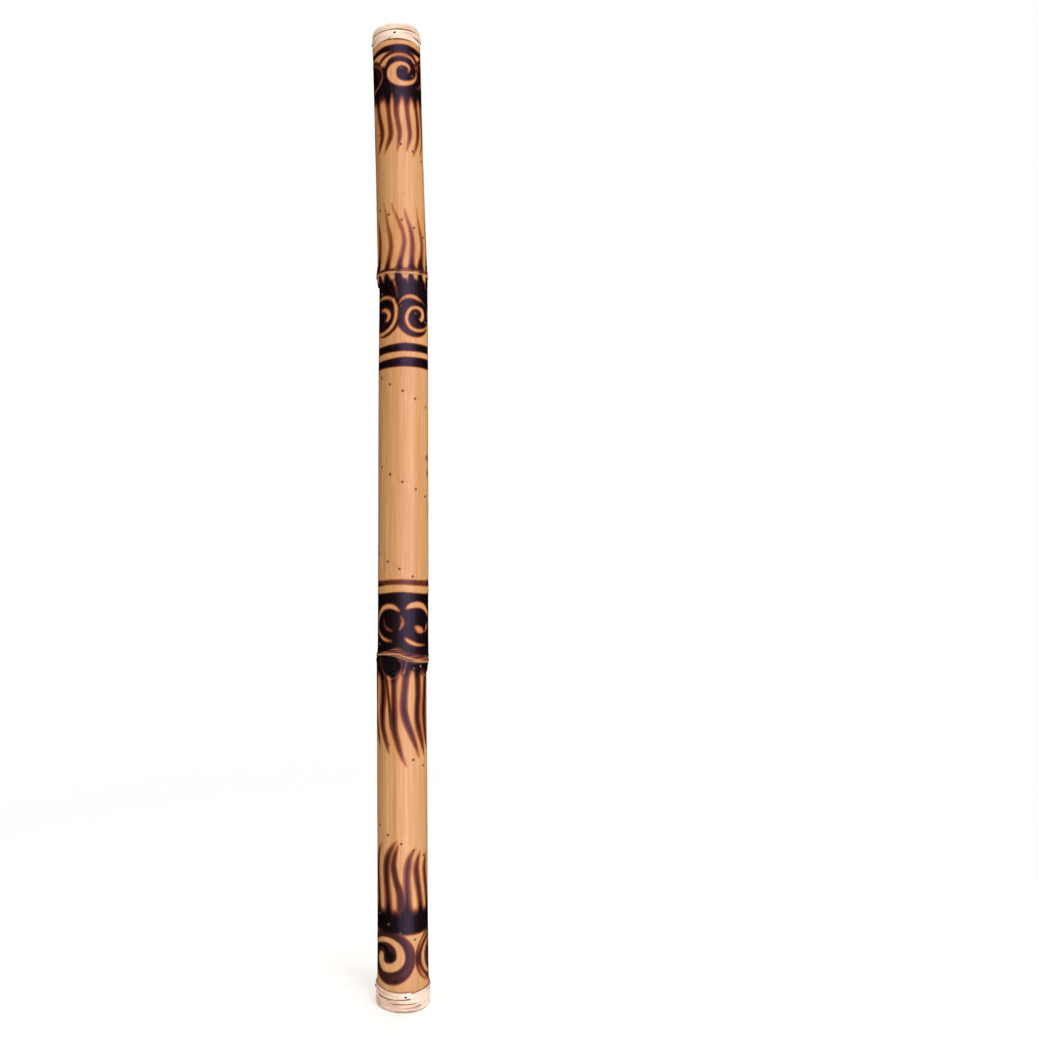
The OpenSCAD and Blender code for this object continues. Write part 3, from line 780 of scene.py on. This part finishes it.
def bamboo_skin():
    """Scraped, lacquered bamboo: upright fibres, soft stains, painted shade under the bindings, a painted
    highlight on the upper node's ridge, and the burn from straw to black.
    """
    look = Look("bamboo_skin", IOR=1.48, Coat_Weight=0.6, Coat_Roughness=0.42, Coat_IOR=1.5)
    burn, scar = look.attribute("burn"), look.attribute("scar")
    pale, stain_and_shade = look.attribute("pale"), look.attribute("stain_and_shade")
    fibre = look.noise(620, (1, 1, 0.012), detail=3, rough=0.6)
    streak = look.noise(150, (1, 1, 0.02), detail=4, rough=0.6)
    patch = look.noise(26, (1, 1, 0.16), detail=3)
    cloud = look.noise(9, (1, 1, 0.5), detail=2)
    speck = look.noise(900, (1, 1, 0.25), detail=2)
    straw = look.ramp(streak, (0.25, (190, 135, 84)), (0.5, (217, 163, 110)), (0.75, (236, 187, 141)))
    warm = look.ramp(patch, (0.3, (204, 143, 80)), (0.55, (221, 165, 107)), (0.75, (231, 179, 131)))
    tan = look.mix(0.5, straw, warm)
    tan = look.tinted(tan, (198, 138, 76), cloud, 0.4, 0.7, 0.0, 0.35)
    tan = look.tinted(tan, (162, 108, 64), fibre, 0.35, 0.65, 0.36, 0.0)
    tan = look.tinted(tan, (150, 98, 60), speck, 0.68, 0.78, 0.0, 0.35)
    # Brown for real stains and the rings round the pins, and painted shade on the culm under the bindings.
    tan = look.mix(look.math("MULTIPLY", stain_and_shade, 0.85), tan, paint(104, 62, 38))
    cork = look.ramp(look.noise(1100, (1, 1, 0.3), detail=3), (0.3, (112, 66, 40)), (0.7, (186, 132, 88)))
    tan = look.mix(look.math("MULTIPLY", scar, 0.6), tan, cork)
    lines = look.spread(look.noise(620, (0.12, 0.12, 2.2), detail=3, rough=0.6), 0.38, 0.62, -0.3, 0.3)
    grainy = look.swayed(look.swayed(burn, fibre, 0.26), speck, 0.08)
    grainy = look.math("ADD", grainy, look.math("MULTIPLY", lines, scar))
    heat = look.math("MULTIPLY", grainy, look.spread(burn, 0.0, 0.06), clamp=True)
    char = look.ramp(heat, (0.0, (214, 154, 88)), (0.2, (198, 128, 62)), (0.4, (156, 86, 38)),
                     (0.6, (112, 52, 26)), (0.8, (72, 27, 18)), (1.0, (15, 6, 7)))
    colour = look.mix(look.spread(heat, 0.0, 0.3), tan, char)
    # Pale: light fibre lines and peeled spots, and a painted highlight on the upper node's ridge.
    colour = look.mix(look.math("MULTIPLY", pale, 0.8), colour, paint(214, 172, 132))
    rough = look.spread(streak, 0.2, 0.8, 0.4, 0.54)
    rough = look.math("ADD", rough, look.math("MULTIPLY", scar, 0.18))
    rough = look.swayed(rough, fibre, 0.1)
    rough = look.math("SUBTRACT", rough, look.math("MULTIPLY", burn, 0.05), clamp=True)
    normal = look.bump(streak, 0.00022)
    normal = look.bump(fibre, 0.00009, normal)
    normal = look.bump(look.noise(240, detail=3), 0.00006, normal)
    return look.done(colour, rough, normal)


def bamboo_cut():
    """Sawn and bored bamboo: pale ground with the dark dots of the fibre bundles."""
    look = Look("bamboo_cut", IOR=1.45)
    dots = look.cells(1150, (1, 1, 0.02))
    fibre = look.noise(500, (1, 1, 0.03), detail=4)
    cloud = look.noise(60, detail=3)
    ground = look.ramp(cloud, (0.3, (196, 152, 104)), (0.7, (222, 184, 138)))
    colour = look.tinted(ground, (118, 76, 46), dots, 0.18, 0.42, 0.75, 0.0)
    colour = look.tinted(colour, (168, 122, 80), fibre, 0.4, 0.7, 0.0, 0.3)
    rough = look.spread(cloud, 0.2, 0.8, 0.6, 0.8)
    normal = look.bump(dots, 0.00015, look.bump(fibre, 0.0002))
    return look.done(colour, rough, normal)


def split_cane():
    """Peeled split cane: cream, with pink and straw tints and brown fibre dashes along the strip, and
    painted shade darkening its long edges where the strips meet.
    """
    look = Look("split_cane", IOR=1.48, Coat_Weight=0.12, Coat_Roughness=0.35)
    along, fresh = look.attribute("fibre"), look.attribute("tint")
    dash = look.noise(420, (0.12, 0.12, 2.2), detail=4, rough=0.65, warp=0.3)
    fine = look.noise(900, (0.1, 0.1, 2.2), detail=3)
    blotch = look.noise(70, (0.8, 0.8, 1.2), detail=3)
    cream = look.ramp(blotch, (0.3, (233, 196, 172)), (0.5, (245, 219, 198)), (0.72, (252, 236, 220)))
    cream = look.tinted(cream, (224, 178, 146), fresh, 0.2, 1.0, 0.0, 0.45)
    worn = look.math("MULTIPLY", look.spread(dash, 0.5, 0.64), look.spread(fresh, 0.0, 0.8, 0.25, 0.75))
    cream = look.mix(worn, cream, paint(150, 94, 68))
    # Painted shade: brown along the strip's long edges, where the fibre attribute is near 0, for the shade
    # in the gaps between strips.
    cream = look.tinted(cream, (104, 62, 40), along, 0.05, 0.5, 0.85, 0.0)
    rough = look.spread(fine, 0.2, 0.8, 0.42, 0.6)
    normal = look.bump(fine, 0.0001, look.bump(dash, 0.00025))
    return look.done(cream, rough, normal)


def brad_steel():
    """Dull dark nail: grey steel with brown bloom and a hammered face."""
    look = Look("brad_steel", Metallic=0.85)
    bloom = look.noise(900, detail=4)
    colour = look.ramp(bloom, (0.3, (38, 34, 32)), (0.55, (54, 50, 48)), (0.8, (78, 74, 70)))
    rough = look.spread(bloom, 0.2, 0.8, 0.62, 0.36)
    return look.done(colour, rough, look.bump(look.noise(1500, detail=2), 0.00006))


def pin_wood():
    """Hard grey-brown pins, cut off flush: rings of grain on the cut ends."""
    look = Look("pin_wood", IOR=1.46)
    grain = look.noise(1600, detail=4)
    wide = look.noise(180, detail=2)
    colour = look.ramp(grain, (0.3, (86, 52, 34)), (0.55, (116, 78, 54)), (0.8, (148, 116, 92)))
    colour = look.tinted(colour, (92, 56, 38), wide, 0.4, 0.6, 0.0, 0.5)
    return look.done(colour, look.spread(grain, 0.2, 0.8, 0.5, 0.7), look.bump(grain, 0.00008))


def plug_wood():
    """Softwood disc: saw marks and faint growth bands on a pale tan face."""
    look = Look("plug_wood", IOR=1.45)
    wave = look.node("ShaderNodeTexWave", wave_type="BANDS", bands_direction="X", wave_profile="SAW")
    look.link(look.place, wave.inputs["Vector"])
    for socket, value in (("Scale", 160), ("Distortion", 2.5), ("Detail", 3), ("Detail Scale", 1.2)):
        wave.inputs[socket].default_value = value
    saw = look.noise(700, (0.08, 2.0, 1.0), detail=3)
    colour = look.ramp(wave.outputs["Fac"], (0.1, (206, 160, 106)), (0.6, (188, 138, 86)),
                       (0.95, (158, 108, 64)))
    colour = look.tinted(colour, (226, 188, 138), saw, 0.5, 0.8, 0.0, 0.4)
    rough = look.spread(saw, 0.2, 0.8, 0.62, 0.82)
    return look.done(colour, rough, look.bump(saw, 0.00007, look.bump(wave.outputs["Fac"], 0.00004)))


def stone(name, dark, middle, light):
    """Tumbled stone with speckle and veins."""
    look = Look(name, IOR=1.5)
    speck, vein = look.noise(1400, detail=4), look.noise(260, detail=3, warp=1.2)
    colour = look.ramp(vein, (0.3, dark), (0.5, middle), (0.75, light))
    colour = look.tinted(colour, (60, 54, 50), speck, 0.55, 0.7, 0.0, 0.5)
    return look.done(colour, look.spread(speck, 0.2, 0.8, 0.45, 0.7), look.bump(speck, 0.0001))


def floor_paper():
    """Seamless white paper that thins out into the white room, so that no edge shows."""
    look = Look("floor_paper", Roughness=0.85)
    tree = look.tree
    tone = look.noise(40, detail=3)
    colour = look.ramp(tone, (0.3, (246, 246, 245)), (0.7, (250, 250, 249)))
    look.done(colour, look.spread(tone, 0.2, 0.8, 0.8, 0.9), look.bump(tone, 0.0002))
    split = look.node("ShaderNodeSeparateXYZ")
    look.link(look.place, split.inputs[0])
    away = look.math("SQRT", look.math("ADD", look.math("POWER", split.outputs[0], 2.0),
                                       look.math("POWER", split.outputs[1], 2.0)))
    clear = look.node("ShaderNodeBsdfTransparent")
    blend = look.node("ShaderNodeMixShader")
    look.link(look.spread(away, 0.25, 1.15), blend.inputs[0])
    tree.links.new(look.shader.outputs[0], blend.inputs[1])
    tree.links.new(clear.outputs[0], blend.inputs[2])
    tree.links.new(blend.outputs[0], tree.nodes["Material Output"].inputs["Surface"])
    return look.material


# ---------------------------------------------------------------- pieces

def new_object(name, points, faces, materials):
    mesh = bpy.data.meshes.new(name)
    mesh.from_pydata([tuple(p) for p in points], [], faces)
    for material in materials:
        mesh.materials.append(material)
    mesh.shade_smooth()
    made = bpy.data.objects.new(name, mesh)
    bpy.context.scene.collection.objects.link(made)
    return made


def set_attribute(piece, name, values):
    attribute = piece.data.attributes.new(name, "FLOAT", "POINT")
    attribute.data.foreach_set("value", np.ascontiguousarray(values, np.float32).ravel())


def circle(sides):
    """Angles of points spaced evenly round a circle."""
    return [2 * math.pi * s / sides for s in range(sides)]


def tube_faces(rows, sides, start=0, flip=False, closed=False):
    """Quads between rings of points. A closed tube joins its last ring to its first."""
    faces = []
    for k in range(rows if closed else rows - 1):
        low, up = start + k * sides, start + (k + 1) % rows * sides
        for s in range(sides):
            t = (s + 1) % sides
            faces.append((low + s, low + t, up + t, up + s) if flip else (low + s, up + s, up + t, low + t))
    return faces


def take_over(piece, body, node):
    """Puts a piece on its body, in the place of its CAD node."""
    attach(piece, body)
    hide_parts(node)


def outside_radius(shape, z, sheets):
    """Radius of the visible culm in metres, with its rounded ends, relief and slight unevenness."""
    radius = shape.radius(z * MM) / MM
    turns = np.arange(COLUMNS) * 2 * math.pi / COLUMNS
    rng = random.Random(5)
    for order, wave in ((2, 410), (3, 260), (4, 170), (5, 120), (7, 75)):
        phase, drift = rng.uniform(0, 6.3), rng.uniform(0, 6.3)
        swing = np.sin(2 * math.pi * z / wave + drift)[:, None]
        radius += 0.05 * swing * np.cos(order * turns + phase)[None, :]
    radius += sheets["raised"].value - sheets["sunk"].value
    radius -= 0.12 * sheets["burn"].blurred(1) * (1 - sheets["scar"].value)
    top = shape.top / MM
    foot, head = np.clip(1 - z / 2.2, 0, 1), np.clip(1 - (top - z) / 4.5, 0, 1)
    return radius - (1.3 * foot ** 2 + 2.1 * head ** 1.6)[:, None]


def make_culm(shape, materials):
    """The bored culm as one closed skin: outside, top rim, bore with its diaphragms, bottom rim."""
    z = culm_heights(shape)
    sheets = draw_sheets(shape, z)
    radius = outside_radius(shape, z, sheets) * MM
    turns = np.arange(COLUMNS) * 2 * math.pi / COLUMNS
    out_x, out_y = np.sin(turns), -np.cos(turns)

    def ring(radius, height, middle=0.0):
        return np.stack([middle + radius * out_x, radius * out_y, np.full(COLUMNS, height)], 1)

    rings = [ring(radius[k], height, shape.centre(height)) for k, height in enumerate(z * MM)]
    outside = len(rings)
    bore, rim_top, rim_foot = shape.bore, rings[-1], rings[0]
    levels = [shape.top, shape.top - 4 * MM]
    for node in NODE_HEIGHTS:
        levels += [node + step * MM for step in (9, 1.6, 1.4, -1.4, -1.6, -9)]
    levels += [4 * MM, 0.0]
    for share in (0.04, 0.35, 0.7):
        rings.append(rim_top * (1 - share) + ring(bore, shape.top) * share)
    for level in levels:
        at_diaphragm = min(abs(level - node) for node in NODE_HEIGHTS) < 1.5 * MM
        rings.append(ring(bore - 1.5 * MM if at_diaphragm else bore, level))
    for share in (0.7, 0.35, 0.04):
        rings.append(rim_foot * (1 - share) + ring(bore, 0.0) * share)
    points = np.concatenate(rings)
    lean = np.clip((points[:, 2] - (shape.top - 30 * MM)) / (30 * MM), 0, 1)
    points[:, 2] += lean * shape.top_tilt * (points[:, 0] - shape.top_point.x)
    faces = tube_faces(len(rings), COLUMNS, flip=True, closed=True)
    piece = new_object("culm_with_burnt_pattern", points, faces, materials)
    rows = np.repeat(np.arange(len(rings)), COLUMNS)
    piece.data.polygons.foreach_set("material_index", (rows >= outside).astype(np.int32))
    values = {name: sheets[name].value for name in ("burn", "scar", "pale", "stain_and_shade")}
    values["burn"] = 1 - (1 - values["burn"]) * (1 - 0.4 * sheets["burn"].blurred(6))
    for name, value in values.items():
        set_attribute(piece, name, np.pad(value, ((0, len(rings) - outside), (0, 0))))
    return piece


def strip_section(width, thick):
    """Half-round section of a split cane strip: (across, out) pairs, flat side in."""
    top = [(width / 2 * math.sin(a), thick * math.cos(a) ** 0.55) for a in np.linspace(-1.5, 1.5, 13)]
    return [(-width / 2, 0.12)] + top + [(width / 2, 0.12), (width / 2 - 0.5, 0.0), (-width / 2 + 0.5, 0.0)]


def make_strip(name, shape, plan, material):
    """One cane strip bent round the culm. Its ends overlap where the plan puts the joint."""
    rng = random.Random(plan["seed"])
    waves = [(order, rng.uniform(-1, 1) * 0.5 / order, rng.uniform(0, 6.3)) for order in (1, 2, 3, 5, 8)]
    count, lap = 260, 5.0 / SHEET_RADIUS
    start = plan["joint"] / SHEET_RADIUS
    points, fibre, tint = [], [], []
    section = strip_section(plan["width"], plan["thick"])
    for i in range(count + 1):
        share = i / count
        turn = start - lap + share * (2 * math.pi + 2 * lap)
        ahead = (turn - start + math.pi) % (2 * math.pi) - math.pi
        near = max(0.0, 1 - abs(ahead) * SHEET_RADIUS / 30)
        sway = sum(size * math.sin(order * turn + phase) for order, size, phase in waves)
        z = plan["z"] + plan["peak"] * near + sway * plan["wander"]
        edge = min(share, 1 - share) * count
        thin = 1 - 0.35 * max(0.0, 1 - edge / 5)
        lift = plan["lift"] * smoothstep(np.array((share - 0.93) / 0.05))
        z += plan["cross"] * (share - 0.5) * smoothstep(np.array((abs(share - 0.5) - 0.36) / 0.12))
        narrow = 1 - 0.08 * math.sin(3 * turn + plan["seed"])
        for across, out in section:
            height = max(0.06, z + across * narrow)
            lean = plan["lean"] * max(0.0, (height - plan["z"] + plan["width"] / 2) / plan["width"]) ** 2
            r = plan["radius"] + lift + out * thin - lean
            x = float(shape.centre(height * MM)) / MM + r * math.sin(turn)
            top_shift = shape.top_tilt * (x - shape.top_point.x / MM) if plan["tilted"] else 0
            points.append((x * MM, -r * math.cos(turn) * MM, (height + top_shift) * MM))
            # fibre is 0 at the strip's long edges and 1 from 0.8 mm in; split_cane paints shade with it.
            fibre.append(min(1.0, (plan["width"] / 2 - abs(across)) / 0.8))
            tint.append(plan["tint"] + 0.4 * math.sin(2 * turn + plan["seed"]))
    n = len(section)
    faces = tube_faces(count + 1, n, flip=True)
    faces += [tuple(range(n - 1, -1, -1)), tuple(range(count * n, count * n + n))]
    piece = new_object(name, points, faces, [material])
    set_attribute(piece, "fibre", np.array(fibre))
    set_attribute(piece, "tint", np.clip(np.array(tint), 0, 1))
    return piece


STRIP_FIELDS = ("node", "z", "width", "thick", "radius", "peak", "cross", "wander", "joint", "seed", "tint")
STRIPS = {
    "bottom_cane_strip_1": ("bottom_cane_hoop_lower", 2.3, 4.5, 1.5, 26.2, -0.4, 1.2, 0.6, 62, 1, 0.35),
    "bottom_cane_strip_2": ("bottom_cane_hoop_lower", 6.5, 4.0, 1.6, 26.3, 0.5, 1.8, 1.1, 24, 2, 0.7),
    "bottom_cane_strip_3": ("bottom_cane_hoop_middle", 10.4, 4.1, 1.6, 26.4, -0.5, 2.0, 1.2, -34, 3, 0.25),
    "bottom_cane_strip_4": ("bottom_cane_hoop_middle", 14.4, 4.2, 1.7, 26.5, 0.8, 2.2, 1.0, 12, 9, 0.15),
    "bottom_cane_strip_5": ("bottom_cane_hoop_upper", 18.6, 4.2, 1.5, 26.8, -1.5, 2.4, 0.5, 2.5, 4, 0.55),
    "top_cane_strip_1": ("top_cane_hoop_lower", 985.0, 5.2, 1.15, 23.8, 3.8, 1.6, 0.3, -1.2, 5, 0.1),
    "top_cane_strip_2": ("top_cane_hoop_middle", 991.0, 5.8, 1.3, 23.7, 1.4, 1.0, 0.4, 40, 6, 0.4),
    "top_cane_strip_3": ("top_cane_hoop_upper", 998.1, 6.6, 1.2, 23.5, 0.2, 0.6, 0.3, -52, 7, 0.5),
}


def make_bindings(shape, material):
    """The cane strips round both ends. The last one leans in over the top edge."""
    for name, values in STRIPS.items():
        plan = dict(zip(STRIP_FIELDS, values), tilted=name.startswith("top"), lift=0.55)
        plan["lean"] = 0.8 if name == "top_cane_strip_3" else 0.0
        take_over(make_strip(name, shape, plan, material), "stick", plan["node"])


def make_brads(node, material):
    """Small domed nails where the CAD has its brads."""
    points, faces, sides = [], [], 20
    for part in loose_parts(node):
        middle = part.mean(0)
        far = np.hypot(part[:, 0], part[:, 1])
        head = part[far > far.max() - 0.1 * MM].mean(0)
        tip = part[far < far.min() + 0.4 * MM].mean(0)
        out = Vector(head - tip).normalized()
        across = out.cross(Vector((0, 0, 1))).normalized()
        up = out.cross(across)
        base = Vector(head) - out * (0.42 if node.startswith("bottom") else 0.15) * MM
        profile = [(0.0, 0.36), (0.5, 0.33), (0.95, 0.2), (1.22, 0.0), (1.3, -0.25), (1.2, -0.5),
                   (0.6, -0.66), (0.58, -2.4), (0.3, -3.3), (0.0, -3.9)]
        faces += tube_faces(len(profile), sides, start=len(points))
        for radius, rise in profile:
            for a in circle(sides):
                wob = 1 + 0.05 * math.sin(3 * a + middle[0] * 900)
                p = base + (across * math.cos(a) + up * math.sin(a)) * radius * wob * MM + out * rise * MM
                points.append(tuple(p))
    return new_object(node.replace("brads", "domed_brads"), points, faces, [material])


def make_plug(node, face_up, shape, material):
    """A turned end disc: chamfered rim, very slightly dished, with a small pip in the middle."""
    low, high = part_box(node)
    radius = (high.x - low.x) / 2
    centre = (low + high) / 2
    outer, inner, side = (high.z, low.z, 1) if face_up else (low.z, high.z, -1)
    profile = [(0.0, -0.5), (0.06, -0.35), (0.12, -0.3), (0.5, -0.25), (0.8, -0.15), (0.93, -0.1),
               (0.975, -0.35), (1.0, -0.9)]
    points, sides = [], 96
    rings = [(share * radius, outer + side * (drop - 0.1) * MM) for share, drop in profile]
    rings += [(radius, inner + side * 0.5 * MM), (radius - 0.5 * MM, inner), (0.3 * radius, inner),
              (0.0, inner)]
    for r, z in rings:
        for a in circle(sides):
            x, y = centre.x + r * math.cos(a), centre.y + r * math.sin(a)
            tilt = shape.top_tilt * (x - high.x) if face_up and z > centre.z else 0.0
            points.append((x, y, z + tilt))
    faces = tube_faces(len(rings), sides, flip=not face_up)
    return new_object(node.replace("end_plug", "end_disc"), points, faces, [material])


def pebble_shapes(kinds, seed):
    """A few tumbled shapes of at most unit radius, from a subdivided solid pushed about by waves."""
    bpy.ops.mesh.primitive_ico_sphere_add(subdivisions=3, radius=1)
    ball = bpy.context.object
    base = np.array([v.co[:] for v in ball.data.vertices])
    faces = [tuple(p.vertices) for p in ball.data.polygons]
    bpy.data.objects.remove(ball)
    rng = random.Random(seed)
    shapes = []
    for _ in range(kinds):
        r = np.ones(len(base))
        for _ in range(7):
            d = np.array([rng.gauss(0, 1) for _ in range(3)])
            r += 0.05 * np.sin(base @ d * 2.2 + rng.uniform(0, 6.3))
        shape = base * r[:, None] * np.array([1, rng.uniform(0.82, 1), rng.uniform(0.72, 0.95)])
        shapes.append(shape / np.linalg.norm(shape, axis=1).max())
    return shapes, faces


def make_stones(node, name, material, seed):
    """Irregular stones, each inside the ball that stands for it in the CAD."""
    shapes, faces = pebble_shapes(6, seed)
    rng = random.Random(seed + 1)
    points, all_faces = [], []
    for part in loose_parts(node):
        centre = (part.min(0) + part.max(0)) / 2
        radius = (part.max(0) - part.min(0)).min() / 2 * rng.uniform(0.93, 0.985)
        a, b = rng.uniform(0, 6.3), rng.uniform(0, 6.3)
        turn_z = np.array([[math.cos(a), -math.sin(a), 0], [math.sin(a), math.cos(a), 0], [0, 0, 1]])
        turn_x = np.array([[1, 0, 0], [0, math.cos(b), -math.sin(b)], [0, math.sin(b), math.cos(b)]])
        shape = rng.choice(shapes) @ turn_z @ turn_x * radius + centre
        start = len(points)
        points.extend(shape)
        all_faces.extend(tuple(start + v for v in f) for f in faces)
    return new_object(name, points, all_faces, [material])


# ---------------------------------------------------------------- stage

def make_stage():
    """A round sheet of white paper under the stick."""
    size, rings, sides = 1.3, 12, 96
    points = [(0.0, 0.0, 0.0)]
    for k in range(1, rings + 1):
        radius = size * k / rings
        points += [(radius * math.cos(a), radius * math.sin(a), 0.0) for a in circle(sides)]
    faces = [(0, 1 + s, 1 + (s + 1) % sides) for s in range(sides)]
    faces += tube_faces(rings, sides, start=1)
    floor = new_object("floor", points, faces, [floor_paper()])
    floor.location.z = CAD_LOW.z - 0.2 * MM
    floor.visible_glossy = False


def area_light(name, place, aim, size, power, colour, shine=True, shade=True):
    """A soft box. Without shine it is not mirrored by the lacquer, without shade it is only mirrored."""
    data = bpy.data.lights.new(name, "AREA")
    data.shape, data.size, data.size_y = "RECTANGLE", size[0], size[1]
    data.energy, data.color = power, colour
    lamp = bpy.data.objects.new(name, data)
    lamp.visible_camera = False
    lamp.visible_glossy, lamp.visible_diffuse = shine, shade
    lamp.location = place
    lamp.rotation_mode = "QUATERNION"
    lamp.rotation_quaternion = (Vector(place) - Vector(aim)).to_track_quat("Z", "Y")
    bpy.context.scene.collection.objects.link(lamp)


def make_light():
    """A white room with a broad soft box a little to the right of the camera and a warm one on the left."""
    world = bpy.data.worlds.new("white_room")
    bpy.context.scene.world = world
    world.use_nodes = True
    tree = world.node_tree
    seen, around = tree.nodes["Background"], tree.nodes.new("ShaderNodeBackground")
    seen.inputs["Color"].default_value = (1, 1, 1, 1)
    seen.inputs["Strength"].default_value = 1.0
    around.inputs["Color"].default_value = (1.0, 0.95, 0.9, 1)
    around.inputs["Strength"].default_value = 0.3
    ray = tree.nodes.new("ShaderNodeLightPath")
    blend = tree.nodes.new("ShaderNodeMixShader")
    tree.links.new(ray.outputs["Is Camera Ray"], blend.inputs[0])
    tree.links.new(around.outputs[0], blend.inputs[1])
    tree.links.new(seen.outputs[0], blend.inputs[2])
    tree.links.new(blend.outputs[0], tree.nodes["World Output"].inputs["Surface"])
    world.cycles_visibility.glossy = False
    middle = (0, 0, 0.5)
    area_light("key_wall", (0.9, -1.45, 0.8), middle, (1.6, 2.4), 33, (1.0, 0.99, 1.02), shine=False)
    area_light("top_box", (0.0, 0.3, 2.6), (0, 0.1, 0), (2.4, 2.4), 62, (1.0, 1.0, 1.0), shine=False)
    area_light("sheen_wall", (0.5, -1.5, 0.6), middle, (1.7, 3.0), 22, (0.85, 0.56, 1.0), shade=False)
    area_light("left_fill", (-1.5, -1.0, 0.9), middle, (1.2, 2.4), 7, (1.0, 0.84, 0.62), shine=False)
    bpy.context.scene.view_settings.view_transform = "Standard"


def make_camera():
    """A camera at half the stick's height, as in the photograph."""
    data = bpy.data.cameras.new("camera")
    data.sensor_width = 36
    data.lens = LENS
    data.shift_x = SHIFT
    camera = bpy.data.objects.new("camera", data)
    camera.location = (0, -VIEW_DISTANCE, EYE_HEIGHT)
    camera.rotation_euler = (math.radians(90), math.radians(ROLL), 0)
    data.clip_start, data.clip_end = 0.05, 20
    bpy.context.scene.collection.objects.link(camera)
    bpy.context.scene.camera = camera


# ---------------------------------------------------------------- putting it together

def dress_cad_node(node, material):
    """Gives a CAD node that stays visible its finish."""
    mesh = frame["nodes"][node].data
    mesh.materials.clear()
    mesh.materials.append(material)


def build():
    make_camera()
    make_light()
    make_stage()
    shape = Shape()
    culm = make_culm(shape, [bamboo_skin(), bamboo_cut()])
    take_over(culm, "stick", "bamboo_culm")
    make_bindings(shape, split_cane())
    steel, wood = brad_steel(), plug_wood()
    for node in ("bottom_brads", "top_brads"):
        take_over(make_brads(node, steel), "stick", node)
    for node in ("bottom_end_plug", "top_end_plug"):
        take_over(make_plug(node, node.startswith("top"), shape, wood), "stick", node)
    pins = pin_wood()
    for node in sorted(frame["nodes"]):
        if node.startswith("rain_pins"):
            dress_cad_node(node, pins)
    stones = (
        ("pebbles", "tumbled_pebbles", "pebble_stone", (96, 88, 80), (140, 130, 118), (184, 176, 162), 31),
        ("grit", "sharp_grit", "grit_stone", (108, 96, 82), (156, 142, 122), (196, 184, 164), 41),
    )
    for node, name, slot, dark, middle, light, seed in stones:
        piece = make_stones(node, name, stone(slot, dark, middle, light), seed)
        take_over(piece, "filling", node)


build()
